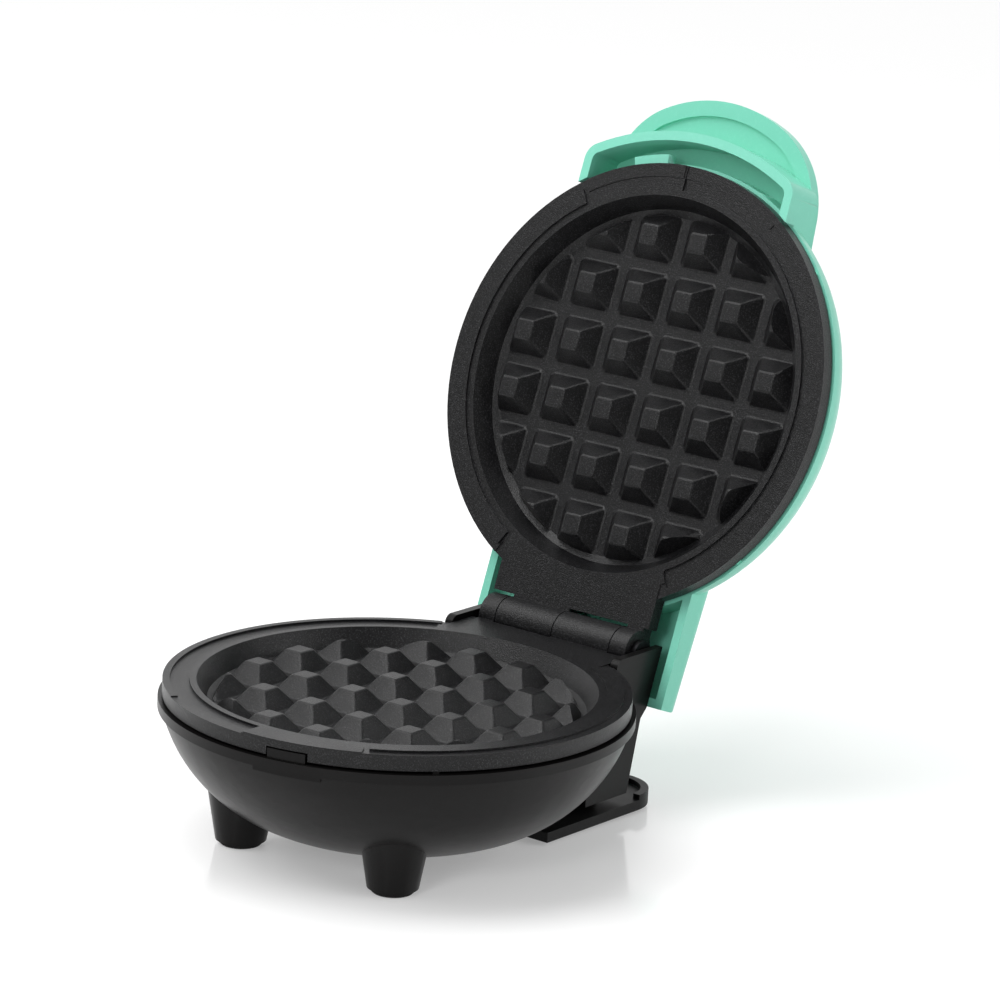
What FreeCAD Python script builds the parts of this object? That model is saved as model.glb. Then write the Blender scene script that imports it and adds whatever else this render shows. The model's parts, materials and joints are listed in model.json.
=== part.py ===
import FreeCAD, Part
import math
import os
from FreeCAD import Placement, Rotation, Vector

# Mini waffle maker with a hinged lid, modelled open.
# Millimetres, +Z up, +X along the hinge, the hinge at the back (+Y).
# Every piece is built about the axis of the round plates, with the lid shut and the parting plane
# at Z = 0. The lid's pieces are then turned open about the hinge, and the whole is set down with
# its origin on the ground, under the middle of its bounding box.

# Cooking plates: one casting, used twice, face to face
plate_radius = 61.0
rim_depth = 4.2
rim_width = 8.7
floor_taper = 3.0
floor_depth = 6.5
floor_fillet = 2.0
pan_wall = 3.0
pan_back_margin = 2.0
pan_draft = 2.0
tongue_rise = 0.45
mating_gap = 0.3
outer_lip_width = 1.9
inner_lip_width = 1.7
tongue_clearance = 0.4
front_land_angle = 32.0
rear_land_angle = 29.0
land_split_width = 3.6
land_end_gap = 0.5

# Waffle grid
cell_pitch = 16.35
cells_across = 6
pyramid_base = 13.4
pyramid_top = 5.4
pyramid_height = 5.0
pyramid_corner = 1.3
pyramid_wall_gap = 1.3
pyramid_edge_draft = 30.0
smallest_pyramid_share = 0.12

# Hinge
hinge_setback = 8.8
open_angle = 110.0
barrel_radius = 5.7
barrel_length = 19.5
ear_length = 5.5
knuckle_gap = 0.3
flange_half_width = 26.5
flange_gap = 0.8
pin_radius = 2.0
pin_clearance = 0.05
pin_overhang = 0.9
pin_head_radius = 3.2
pin_cap_length = 1.3

# Heater stack behind each plate
element_radius = 30.0
element_tube_radius = 3.0
element_gap_angle = 36.0
element_bend_radius = 4.5
element_pin_radius = 1.0
element_pin_length = 3.0
element_clearance = 0.8
clamp_thickness = 1.0
clamp_margin = 1.0
clamp_hole_radius = 14.0
clamp_window_angle = 50.0
reflector_thickness = 0.6
reflector_flare = 8.0
reflector_rise = 4.5
reflector_post_gap = 0.6
clamp_boss_circle = 20.0
clamp_boss_radius = 4.0
clamp_boss_count = 3
clamp_boss_turn = 30.0
clamp_web = 3.0
seat_gap = 0.1

# Fasteners
screw_radius = 1.25
screw_pilot_clearance = 0.05
screw_hole_clearance = 0.5
screw_head_radius = 2.8
screw_head_height = 2.2
screw_head_taper = 0.8
screw_head_sink = 0.3
screw_engagement = 5.0

# Posts that carry the plates in the base and in the lid
front_post_x = 25.8
front_post_y = -30.1
rear_post_x = 24.0
rear_post_y = 36.0
plate_boss_radius = 3.6
plate_boss_length = 4.4
post_radius = 4.6
base_screw_length = 14.0
counterbore_radius = 3.8

# Base housing
seam_gap = 0.7
housing_margin = 0.7
housing_wall = 2.6
rim_band_height = 2.6
rim_band_proud = 0.4
bowl_bottom = -38.0
bowl_arc_radius = 41.0
snap_start_angle = 8.0
snap_end_angle = 18.0
snap_height = 2.6
snap_depth = 2.6
snap_clearance = 0.35
base_snap_proud = 0.3
lid_snap_proud = 3.0
nub_angle = 41.0
nub_span = 1.6
nub_gap = 0.1

# Rear column that carries the hinge
column_half_width = 29.5
column_wall = 2.4
column_top = 1.3
column_bottom = -37.0
column_front_reach = 14.7
column_rear_reach = 5.2
column_foot_setback = 7.4
column_waist_setback = 2.9
column_edge_radius = 2.5
column_root = 17.2
hinge_well_clearance = 1.0
stop_gap = 0.3
stop_margin = 0.3
lead_window_width = 22.0
lead_window_height = 9.0
lead_window_drop = 8.0
lead_window_depth = 12.0

# Feet
ground = -43.1
leg_top_radius = 9.5
leg_foot_radius = 6.7
leg_height = 15.8
pad_proud = 1.3
pad_recess = 0.8
pad_margin = 0.9
foot_plate_half_width = 31.5
foot_plate_length = 51.8
foot_plate_overhang = 8.0
foot_plate_thickness = 2.8
foot_plate_top = -39.3
foot_plate_corner = 12.0
foot_lip_height = 1.4
foot_lip_width = 2.2
neck_half_width = 23.0
neck_length = 17.0
neck_setback = 11.8
foot_screw_x = 19.0
foot_screw_setback = 19.8
foot_boss_height = 7.0
foot_boss_cap = 1.5
rear_pad_radius = 5.0
rear_pad_x = 24.0
rear_pad_setback = 1.8

# Mains inlet and controls inside the base
gland_radius = 4.6
gland_flange_radius = 7.0
gland_flange_thickness = 2.0
gland_bore_radius = 3.2
gland_nose_radius = 5.5
gland_nose_length = 2.0
gland_length = 3.0
gland_z = -27.0
terminal_block_size = (25.0, 8.0, 7.0)
terminal_count = 3
terminal_slot = 1.2
thermostat_radius = 8.2
thermostat_height = 5.4
thermostat_tab_length = 5.0
fuse_radius = 2.0
fuse_length = 11.0
fuse_y = 24.0

# Lid shell
shell_margin = 0.5
shell_wall = 2.5
crown_height = 27.0
shoulder_radius = 14.0
ring_skin = 0.4
brow_half_width = 35.0
brow_reach = 8.7
brow_wall = 2.6
brow_corner = 5.0
brow_lip_z = 0.5
tab_reach = 11.1
tab_front_radius = 45.0
tab_corner_radius = 25.0
tab_half_width = 34.0
tab_thickness = 3.6
tab_root_inset = 11.5
tab_root_top = 17.3
tab_droop_angle = 7.3
tab_border = 4.2
tab_recess = 1.0
tail_half_width = 34.0
tail_reach = 13.5
tail_front_top = 16.6
tail_rear_top = 13.9
tail_edge_radius = 5.0
lid_post_pin_radius = 1.2
lamp_inset = 15.5
lens_radius = 3.2
lens_clearance = 0.1
lens_flange = 1.4
lens_flange_thickness = 0.8
lens_proud = 0.8
lamp_radius = 1.9
lamp_length = 10.0
lamp_gap = 0.2

# How far cutters and joined pieces run past a face
overlap = 1.0

# Levels that follow from the sizes above
origin = Vector(0, 0, 0)
up = Vector(0, 0, 1)
along_hinge = Vector(1, 0, 0)
cavity_radius = plate_radius - rim_width
floor_radius = cavity_radius - floor_taper
hinge_y = plate_radius + hinge_setback
housing_radius = plate_radius + housing_margin
shell_radius = plate_radius + shell_margin
reflector_radius = element_radius + element_tube_radius + clamp_margin + reflector_flare
column_front = hinge_y - column_front_reach
column_rear_top = hinge_y + column_rear_reach
column_rear_foot = hinge_y - column_foot_setback
column_rear_waist = hinge_y - column_waist_setback
foot_plate_rear = hinge_y + foot_plate_overhang
foot_plate_front = foot_plate_rear - foot_plate_length
neck_rear = hinge_y - neck_setback
neck_front = neck_rear - neck_length
foot_screw_y = hinge_y - foot_screw_setback
rear_pad_y = hinge_y - rear_pad_setback
brow_radius = shell_radius + brow_reach
tab_front = brow_radius + tab_reach
tab_root_y = shell_radius - tab_root_inset
tail_rear = hinge_y + tail_reach
lamp_y = lamp_inset - shell_radius
land = -mating_gap / 2
channel = -(tongue_rise + mating_gap)
pan_back = -(floor_depth + pan_wall)
pan_radius = cavity_radius + pan_back_margin
element_z = pan_back - element_tube_radius
clamp_top = element_z - element_tube_radius
clamp_back = clamp_top - clamp_thickness
reflector_back = clamp_back - reflector_thickness
boss_back = pan_back - plate_boss_length
post_top = boss_back - seat_gap
rim_top = -(rim_depth + seam_gap)
shell_rim = rim_depth + seam_gap
shoulder_centre = shell_radius - shoulder_radius
dome_rise = crown_height - shell_rim
crown_drop = dome_rise - shoulder_radius
crown_radius = (shoulder_centre ** 2 + dome_rise ** 2 - shoulder_radius ** 2) / (2 * crown_drop)
crown_centre = crown_height - crown_radius
flange_rear = hinge_y - barrel_radius - flange_gap
pilot_radius = screw_radius + screw_pilot_clearance
bolt_hole_radius = screw_radius + screw_hole_clearance
post_rows = ((front_post_x, front_post_y), (rear_post_x, rear_post_y))
post_places = [(sx * x, y) for x, y in post_rows for sx in (-1, 1)]
clamp_boss_angles = [clamp_boss_turn + 360 / clamp_boss_count * i for i in range(clamp_boss_count)]


def cylinder(radius, z_low, z_high, x=0.0, y=0.0):
    """Upright cylinder between two levels."""
    return Part.makeCylinder(radius, z_high - z_low, Vector(x, y, z_low), up)


def bar(radius, x_low, x_high, y, z):
    """Round bar along the hinge direction."""
    return Part.makeCylinder(radius, x_high - x_low, Vector(x_low, y, z), along_hinge)


def block(x_low, x_high, y_low, y_high, z_low, z_high):
    """Box given by its limits."""
    return Part.makeBox(x_high - x_low, y_high - y_low, z_high - z_low, Vector(x_low, y_low, z_low))


def turned(points):
    """Solid of revolution about the plates' axis from a closed outline of (radius, z)."""
    outline = Part.makePolygon([Vector(r, 0, z) for r, z in points + points[:1]])
    return Part.Face(outline).revolve(origin, up, 360)


def ring(r_low, r_high, z_low, z_high, start=-180.0, end=180.0):
    """Ring or part of one. Angles in degrees run from the front (-Y), positive to the right (+X)."""
    corners = [(r_low, z_low), (r_high, z_low), (r_high, z_high), (r_low, z_high), (r_low, z_low)]
    face = Part.Face(Part.makePolygon([Vector(r, 0, z) for r, z in corners]))
    face.rotate(origin, up, start - 90)
    return face.revolve(origin, up, end - start)


def side_profile(points, x_low, x_high):
    """Prism along the hinge from a closed outline of (y, z)."""
    outline = Part.makePolygon([Vector(x_low, y, z) for y, z in points + points[:1]])
    return Part.Face(outline).extrude(Vector(x_high - x_low, 0, 0))


def fused(shapes):
    """One clean solid from several that meet."""
    return shapes[0].multiFuse(shapes[1:]).removeSplitter()


def rounded(solid, radius, wanted):
    """Fillet the edges whose two end points both pass a test."""
    edges = [e for e in solid.Edges if all(wanted(v.Point) for v in e.Vertexes) and len(e.Vertexes) == 2]
    return solid.makeFillet(radius, edges)


def upside_down(shape):
    """The same piece on the other side of the parting plane: half a turn about the Y axis."""
    copy = shape.copy()
    copy.rotate(origin, Vector(0, 1, 0), 180)
    return copy


def opened_point(y, z):
    """Where a point of the shut lid, as (y, z), lies once the lid is open."""
    turn = math.radians(open_angle)
    dy = y - hinge_y
    return (hinge_y + dy * math.cos(turn) + z * math.sin(turn), z * math.cos(turn) - dy * math.sin(turn))


def clipped_square(side, corner, x, y, z):
    """Square wire with its corners cut off, flat at one level."""
    h = side / 2
    k = h - corner
    corners = [(h, -k), (h, k), (k, h), (-k, h), (-h, k), (-h, -k), (-k, -h), (k, -h), (h, -k)]
    return Part.makePolygon([Vector(x + a, y + b, z) for a, b in corners])


def pyramid(x, y):
    """One flat-topped pyramid of the waffle grid, standing a little way into the floor."""
    foot = -floor_depth - pan_wall / 2
    slope = (pyramid_base - pyramid_top) / pyramid_height
    sunk_side = pyramid_base + slope * (-floor_depth - foot)
    top_corner = pyramid_corner * pyramid_top / pyramid_base
    low = clipped_square(sunk_side, pyramid_corner, x, y, foot)
    high = clipped_square(pyramid_top, top_corner, x, y, pyramid_height - floor_depth)
    return Part.makeLoft([low, high], True, True)


def waffle_grid():
    """The grid of pyramids, those at the edge cut off along the cavity's wall."""
    foot = -floor_depth - pan_wall
    top = pyramid_height - floor_depth
    lean = math.tan(math.radians(pyramid_edge_draft))
    edge = floor_radius - pyramid_wall_gap
    limit = Part.makeCone(edge + lean * pan_wall, edge - lean * pyramid_height, top - foot,
                          Vector(0, 0, foot), up)
    whole = pyramid(0, 0).Volume
    cells = []
    for i in range(cells_across):
        for j in range(cells_across):
            x = (i - (cells_across - 1) / 2) * cell_pitch
            y = (j - (cells_across - 1) / 2) * cell_pitch
            cell = pyramid(x, y)
            if math.hypot(abs(x) + pyramid_base / 2, abs(y) + pyramid_base / 2) > edge:
                cell = cell.common(limit)
            if cell.Volume > smallest_pyramid_share * whole:
                cells.append(cell)
    return cells


def plate_rim():
    """Rim above the channel's floor: two lips on the left half, the tongue between them on the right."""
    root = channel - overlap
    lip_out = plate_radius - outer_lip_width
    lip_in = cavity_radius + inner_lip_width
    tongue_in = lip_in + tongue_clearance
    tongue_out = lip_out - tongue_clearance
    split = plate_radius - land_split_width
    step = mating_gap
    front = front_land_angle
    rear = 180.0 - rear_land_angle
    gap = land_end_gap
    inner = cavity_radius - pan_wall / 2
    return [
        ring(lip_out, plate_radius, root, land, -rear - gap, -front),
        ring(split, plate_radius, root, land - step, -front - gap, 0),
        ring(inner, lip_in, root, land, -rear - gap, 0),
        ring(inner, plate_radius, root, land, 0, rear),
        ring(tongue_in, tongue_out, root, tongue_rise, front + 2 * gap, rear - gap),
        ring(split, plate_radius, root, land + step, gap, front - gap),
        ring(inner, plate_radius, root, land - step, rear - gap, 180),
        ring(inner, split, root, land, rear - gap, 180),
        ring(inner, plate_radius, root, land - step, -180, -rear),
        ring(inner, split, root, land, -180, -rear),
    ]


def knuckle(x_low, x_high):
    """One barrel of the hinge with the web that joins it to the plate's flange."""
    web = block(x_low, x_high, flange_rear - overlap, hinge_y, -rim_depth, land)
    return bar(barrel_radius, x_low, x_high, hinge_y, 0).fuse(web)


def cooking_plate():
    """The casting: pan, waffle grid, interlocking rim, rear flange, hinge knuckles and bosses."""
    pan = turned([(0, pan_back), (pan_radius - pan_draft, pan_back), (pan_radius, -rim_depth),
                  (plate_radius, -rim_depth), (plate_radius, channel), (0, channel)])
    flange = block(-flange_half_width, flange_half_width, 0, flange_rear, -rim_depth, land)
    half = knuckle_gap / 2
    ear = knuckle(-barrel_length - ear_length, -barrel_length - half)
    barrel = knuckle(half, barrel_length - half)
    bosses = [cylinder(plate_boss_radius, boss_back, pan_back + overlap, x, y) for x, y in post_places]
    for x, y in clamp_places():
        bosses.append(cylinder(clamp_boss_radius, clamp_top + seat_gap, pan_back + overlap, x, y))
    body = fused([pan, flange, ear, barrel] + bosses + plate_rim())

    lean = (cavity_radius - floor_radius) / floor_depth
    mouth = tongue_rise + overlap
    step = floor_fillet * 0.6
    cavity = turned([(0, -floor_depth), (floor_radius - floor_fillet, -floor_depth),
                     (floor_radius, step - floor_depth),
                     (cavity_radius, 0), (cavity_radius + lean * mouth, mouth), (0, mouth)])
    notch = ring(plate_radius - snap_depth - snap_clearance, plate_radius + overlap, -rim_depth - overlap,
                 -shell_rim + snap_height + snap_clearance,
                 snap_start_angle - land_end_gap, snap_end_angle + land_end_gap)
    reach = 2 * flange_half_width
    cuts = [cavity, notch, bar(pin_radius + pin_clearance, -reach, reach, hinge_y, 0)]
    for x, y in post_places:
        cuts.append(cylinder(pilot_radius, boss_back - overlap, boss_back + screw_engagement, x, y))
    for x, y in clamp_places():
        cuts.append(cylinder(pilot_radius, clamp_top - overlap, clamp_top + seat_gap + screw_engagement, x, y))
    body = body.cut(Part.makeCompound(cuts))
    return body.multiFuse(waffle_grid()).removeSplitter()


def clamp_places():
    """Centres of the screws that hold the heater clamp."""
    turns = [math.radians(a) for a in clamp_boss_angles]
    return [(clamp_boss_circle * math.cos(t), clamp_boss_circle * math.sin(t)) for t in turns]


def heating_element():
    """Sheathed tubular heater: an open ring whose ends bend away from the plate to pins."""
    start = 90 + element_gap_angle / 2
    circle = Part.Face(Part.Wire(Part.Circle(Vector(element_radius, 0, element_z), Vector(0, 1, 0),
                                             element_tube_radius).toShape()))
    circle.rotate(origin, up, start)
    pieces = [circle.revolve(origin, up, 360 - element_gap_angle)]
    for side in (-1, 1):
        angle = math.radians(90 + side * element_gap_angle / 2)
        outward = Vector(math.cos(angle), math.sin(angle), 0)
        tangent = Vector(-math.sin(angle), math.cos(angle), 0)
        end = outward * element_radius + Vector(0, 0, element_z)
        face = Part.Face(Part.Wire(Part.Circle(end, tangent, element_tube_radius).toShape()))
        pieces.append(face.revolve(end - up * element_bend_radius, outward, 90 * side))
        corner = end - up * element_bend_radius - tangent * (side * element_bend_radius)
        pieces.append(Part.makeCylinder(element_pin_radius, element_pin_length + overlap, corner + up, -up))
    return fused(pieces)


def element_openings(z_low, z_high):
    """Cutters that let the ends of the heating element through a sheet."""
    cutters = []
    for side in (-1, 1):
        angle = math.radians(90 + side * element_gap_angle / 2)
        for reach in (element_bend_radius / 2, element_bend_radius):
            x = element_radius * math.cos(angle) + side * reach * math.sin(angle)
            y = element_radius * math.sin(angle) - side * reach * math.cos(angle)
            cutters.append(cylinder(element_tube_radius + element_clearance, z_low, z_high, x, y))
    return cutters


def heater_clamp():
    """Stamped plate that presses the heating element against the casting."""
    outer = element_radius + element_tube_radius + clamp_margin
    plate = ring(clamp_hole_radius, outer, clamp_back, clamp_top)
    cuts = element_openings(clamp_back - overlap, clamp_top + overlap)
    for angle in clamp_boss_angles:
        middle = angle + 90 + 180 / clamp_boss_count
        half = clamp_window_angle / 2
        cuts.append(ring(clamp_hole_radius + clamp_web, element_radius - element_tube_radius - clamp_margin,
                         clamp_back - overlap, clamp_top + overlap, middle - half, middle + half))
    for x, y in clamp_places():
        cuts.append(cylinder(bolt_hole_radius, clamp_back - overlap, clamp_top + overlap, x, y))
    return plate.cut(Part.makeCompound(cuts)).removeSplitter()


def heat_reflector():
    """Shallow bright dish behind the heater that keeps its heat off the housing."""
    flat = element_radius + element_tube_radius + clamp_margin + 0.5
    dish = turned([(clamp_hole_radius, reflector_back), (flat, reflector_back),
                   (reflector_radius, reflector_back + reflector_rise),
                   (reflector_radius, reflector_back + reflector_rise + reflector_thickness),
                   (flat, clamp_back), (clamp_hole_radius, clamp_back)])
    cuts = element_openings(reflector_back - overlap, clamp_back + overlap)
    for x, y in clamp_places():
        cuts.append(cylinder(bolt_hole_radius, reflector_back - overlap, clamp_back + overlap, x, y))
    for x, y in post_places:
        cuts.append(cylinder(post_radius + reflector_post_gap, reflector_back - overlap, pan_back, x, y))
    return dish.cut(Part.makeCompound(cuts)).removeSplitter()


def screw(x, y, seat, tip):
    """Pan-head screw pointing up, with its head under the seat."""
    head = Part.makeCone(screw_head_radius * screw_head_taper, screw_head_radius, screw_head_height,
                         Vector(x, y, seat - screw_head_height), up)
    return head.fuse(cylinder(screw_radius, seat - 0.1, tip, x, y)).removeSplitter()


def clamp_screws():
    """Screws through reflector and clamp into the casting."""
    tip = clamp_top + screw_engagement - 0.5
    return Part.makeCompound([screw(x, y, reflector_back, tip) for x, y in clamp_places()])


def hinge_ends():
    """Limits of the row of hinge knuckles along X."""
    reach = barrel_length + ear_length
    return -reach, reach


def hinge_pin():
    """Steel pin with a flat head, held by a push-on cap at its other end."""
    low, high = hinge_ends()
    shank = bar(pin_radius, low - knuckle_gap, high + knuckle_gap + pin_overhang, hinge_y, 0)
    head = bar(pin_head_radius, low - knuckle_gap - pin_overhang, low - knuckle_gap, hinge_y, 0)
    return shank.fuse(head).removeSplitter()


def hinge_pin_cap():
    """Push-on cap that holds the hinge pin."""
    low, high = hinge_ends()
    cap = bar(pin_head_radius, high + knuckle_gap, high + knuckle_gap + pin_cap_length, hinge_y, 0)
    return cap.cut(bar(pin_radius, high, high + knuckle_gap + pin_overhang, hinge_y, 0))


def bowl_solid(inset):
    """The bowl as a filled turned solid, its wall moved inwards by an inset."""
    arc_radius = bowl_arc_radius - inset
    centre_z = bowl_bottom + bowl_arc_radius
    centre_r = housing_radius - math.sqrt(bowl_arc_radius ** 2 - (centre_z - rim_top) ** 2)
    edge = centre_r + math.sqrt(arc_radius ** 2 - (centre_z - rim_top) ** 2)
    middle = -math.radians(40)
    rim = Vector(edge, 0, rim_top)
    belly = Vector(centre_r + arc_radius * math.cos(middle), 0, centre_z + arc_radius * math.sin(middle))
    foot = Vector(centre_r, 0, centre_z - arc_radius)
    lines = [Part.Arc(rim, belly, foot).toShape(),
             Part.LineSegment(foot, Vector(0, 0, foot.z)).toShape(),
             Part.LineSegment(Vector(0, 0, foot.z), Vector(0, 0, rim_top)).toShape(),
             Part.LineSegment(Vector(0, 0, rim_top), rim).toShape()]
    return Part.Face(Part.Wire(lines)).revolve(origin, up, 360)


def stop_points():
    """Rear face of the column that the open lid's rear wall comes to rest against, as (y, z)."""
    level = shell_rim - stop_gap
    inner_edge = tail_rear - shell_wall - stop_margin
    return opened_point(inner_edge, level), opened_point(tail_rear + stop_margin, level)


def column_outline(inset):
    """Side view of the rear column, moved inwards at the back and the bottom by an inset."""
    stop_high, stop_low = stop_points()
    waist = stop_low[1] - (stop_low[0] - column_rear_waist)
    return [(column_rear_top - inset, column_top), (stop_high[0] - inset, stop_high[1]),
            (stop_low[0] - inset, stop_low[1]), (column_rear_waist - inset, waist - inset / 2),
            (column_rear_foot - inset, column_bottom + inset)]


def rear_column():
    """Outer form of the column, open to the hinge at its top."""
    inside = housing_radius - column_root
    points = column_outline(0.0) + [(inside, column_bottom), (inside, rim_top), (column_front, rim_top),
                                    (column_front, column_top)]
    solid = side_profile(points, -column_half_width, column_half_width)
    return rounded(solid, column_edge_radius,
                   lambda p: abs(p.y - column_front) < 0.01 and abs(p.z - column_top) < 0.01)


def column_hollow():
    """Room inside the column: the hinge well at the top, the wiring space behind the bowl below it."""
    half = column_half_width - column_wall
    rear = column_outline(column_wall)
    mouth = column_top + overlap
    floor = column_bottom + column_wall
    inside = housing_radius - bowl_arc_radius / 2
    well_front = column_front - overlap
    points = [(rear[0][0] + column_wall, mouth)] + rear[1:]
    points += [(inside, floor), (inside, rim_top - 0.1), (well_front, rim_top - 0.1), (well_front, mouth)]
    room = side_profile(points, -half, half).cut(bowl_solid(0.0))
    return room.fuse(bar(barrel_radius + hinge_well_clearance, -half, half, hinge_y, 0))


def front_legs():
    """Two tapered legs moulded to the bowl."""
    base = ground + pad_proud
    places = [Vector(sx * front_post_x, front_post_y, base) for sx in (-1, 1)]
    return [Part.makeCone(leg_foot_radius, leg_top_radius, leg_height, place, up) for place in places]


def rim_nubs(level, span):
    """Small spacers that keep a shell's edge off the plate's rim."""
    nubs = []
    for angle in (nub_angle, 180 - nub_angle, -nub_angle, nub_angle - 180):
        half = math.degrees(nub_span / 2 / plate_radius)
        low, high = sorted((level, level + span))
        nubs.append(ring(plate_radius - 1.6, plate_radius, low, high, angle + 90 - half, angle + 90 + half))
    return nubs


def snap_tab(level_low, level_high, proud):
    """Tab on a shell's edge that locates the plate by the notch in its rim and stands proud of it."""
    return ring(plate_radius - snap_depth, plate_radius + proud, level_low, level_high,
                snap_start_angle, snap_end_angle)


def base_housing():
    """Moulded bowl with legs, rear column, posts for the plate and openings for screws and mains."""
    band = ring(housing_radius - housing_wall, housing_radius + rim_band_proud,
                rim_top - rim_band_height, rim_top)
    body = fused([bowl_solid(0.0), band, rear_column()] + front_legs())
    inner = bowl_solid(housing_wall)
    body = body.cut(inner.fuse(cylinder(housing_radius - housing_wall, rim_top - 0.01, rim_top + overlap)))
    body = body.cut(column_hollow())

    posts = [cylinder(post_radius, bowl_bottom + 3.0, post_top, x, y) for x, y in post_places]
    posts = [p.common(bowl_solid(0.5)) for p in posts]
    ledge = ring(plate_radius - snap_depth, housing_radius - 0.5, rim_top - 4.0, rim_top,
                 snap_start_angle - 4, snap_end_angle + 4)
    tab = snap_tab(rim_top - overlap, rim_top + snap_height, base_snap_proud)
    boss_top = column_bottom + foot_boss_height
    bosses = [cylinder(post_radius, column_bottom, boss_top, sx * foot_screw_x, foot_screw_y) for sx in (-1, 1)]
    nubs = rim_nubs(rim_top - 0.4, seam_gap + 0.4 - nub_gap)
    body = body.multiFuse(posts + [ledge, tab] + bosses + nubs)

    head_seat = post_top - base_screw_length + screw_engagement
    window_top = rim_top - lead_window_drop
    window_half = lead_window_width / 2
    cuts = [block(-window_half, window_half, housing_radius - lead_window_depth, housing_radius,
                  window_top - lead_window_height, window_top)]
    for x, y in post_places:
        cuts.append(cylinder(bolt_hole_radius, ground, post_top + overlap, x, y))
        cuts.append(cylinder(counterbore_radius, ground, head_seat, x, y))
    for sx in (-1, 1):
        place = (sx * front_post_x, front_post_y)
        cuts.append(cylinder(leg_foot_radius - pad_margin, ground, ground + pad_proud + pad_recess, *place))
        cuts.append(cylinder(pilot_radius, column_bottom - overlap, boss_top - foot_boss_cap,
                             sx * foot_screw_x, foot_screw_y))
    cuts.append(gland_bar(gland_radius + seat_gap, -column_wall - gland_length, gland_length))
    return body.cut(Part.makeCompound(cuts)).removeSplitter()


def base_screws():
    """Screws up the legs and under the foot plate into the casting's bosses."""
    seat = post_top - base_screw_length + screw_engagement
    return Part.makeCompound([screw(x, y, seat, boss_back + screw_engagement - 0.5) for x, y in post_places])


def front_pads():
    """Rubber pads pressed into the two legs."""
    top = ground + pad_proud + pad_recess - seat_gap
    pads = []
    for sx in (-1, 1):
        pad = cylinder(leg_foot_radius - pad_margin - seat_gap, ground, top, sx * front_post_x, front_post_y)
        pads.append(pad.makeChamfer(0.5, [e for e in pad.Edges if e.BoundBox.ZMax < ground + 0.01]))
    return Part.makeCompound(pads)


def foot_outline(inset, rear_inset):
    """Plan of the rear foot plate: square at the front, rounded at the back."""
    w = foot_plate_half_width - inset
    r = foot_plate_corner - inset
    back = foot_plate_rear - rear_inset
    q = r * (1 - math.sqrt(0.5))
    a, b, c = Vector(w, back - r, 0), Vector(w - q, back - q, 0), Vector(w - r, back, 0)
    d, e, f = [Vector(-p.x, p.y, 0) for p in (c, b, a)]
    front = foot_plate_front + inset
    g, h = Vector(-w, front, 0), Vector(w, front, 0)
    lines = [Part.Arc(a, b, c).toShape(), Part.LineSegment(c, d).toShape(), Part.Arc(d, e, f).toShape(),
             Part.LineSegment(f, g).toShape(), Part.LineSegment(g, h).toShape(),
             Part.LineSegment(h, a).toShape()]
    return Part.Face(Part.Wire(lines))


def rear_foot_plate():
    """Foot plate under the column, with a lip at the back that keeps a wound lead in place."""
    low = foot_plate_top - foot_plate_thickness
    head_seat = low + screw_head_height + screw_head_sink
    plate = foot_outline(0, 0)
    plate.translate(Vector(0, 0, low))
    plate = plate.extrude(up * foot_plate_thickness)
    lip = foot_outline(0, 0).cut(foot_outline(foot_lip_width, foot_lip_width))
    lip.translate(Vector(0, 0, foot_plate_top - 0.5))
    lip = lip.extrude(up * (foot_lip_height + 0.5))
    lip = lip.common(block(-foot_plate_half_width, foot_plate_half_width, foot_plate_rear - foot_plate_corner,
                           foot_plate_rear, low, foot_plate_top + foot_lip_height))
    neck = block(-neck_half_width, neck_half_width, neck_front, neck_rear, low, column_bottom)
    body = fused([plate, lip, neck])
    cuts = []
    for sx in (-1, 1):
        place = (sx * foot_screw_x, foot_screw_y)
        cuts.append(cylinder(bolt_hole_radius, low - overlap, column_bottom + overlap, *place))
        cuts.append(cylinder(counterbore_radius, low - overlap, head_seat, *place))
        pad_place = (sx * rear_pad_x, rear_pad_y)
        cuts.append(cylinder(rear_pad_radius + seat_gap, low - overlap, low + pad_recess, *pad_place))
    return body.cut(Part.makeCompound(cuts)).removeSplitter()


def foot_screws():
    """Screws that hold the foot plate to the column."""
    seat = foot_plate_top - foot_plate_thickness + screw_head_height + screw_head_sink
    tip = column_bottom + foot_boss_height - foot_boss_cap - 0.5
    return Part.makeCompound([screw(sx * foot_screw_x, foot_screw_y, seat, tip) for sx in (-1, 1)])


def rear_pads():
    """Rubber pads under the foot plate."""
    top = foot_plate_top - foot_plate_thickness + pad_recess - seat_gap
    pads = []
    for sx in (-1, 1):
        pad = cylinder(rear_pad_radius, ground, top, sx * rear_pad_x, rear_pad_y)
        pads.append(pad.makeChamfer(0.5, [e for e in pad.Edges if e.BoundBox.ZMax < ground + 0.01]))
    return Part.makeCompound(pads)


def gland_axis():
    """Middle of the mains opening on the column's sloping rear face, and the way out of it."""
    high, low = column_outline(0.0)[-2:]
    share = (high[1] - gland_z) / (high[1] - low[1])
    middle = Vector(0, high[0] + (low[0] - high[0]) * share, gland_z)
    slope = Vector(0, low[0] - high[0], low[1] - high[1])
    outward = Vector(0, -slope.z, slope.y)
    outward.normalize()
    return middle, outward


def gland_bar(radius, start, end):
    """Round bar along the mains opening, between two distances from the column's rear face."""
    middle, outward = gland_axis()
    return Part.makeCylinder(radius, end - start, middle + outward * start, outward)


def cord_gland():
    """Bush in the rear face that the mains lead would come out of."""
    flange = gland_bar(gland_flange_radius, 0.0, gland_flange_thickness)
    nose = gland_bar(gland_nose_radius, 0.0, gland_flange_thickness + gland_nose_length)
    stem = gland_bar(gland_radius, -column_wall - gland_nose_length, gland_flange_thickness)
    bore = gland_bar(gland_bore_radius, -column_wall - gland_length, 2 * gland_length)
    return fused([flange, nose, stem]).cut(bore)


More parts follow.
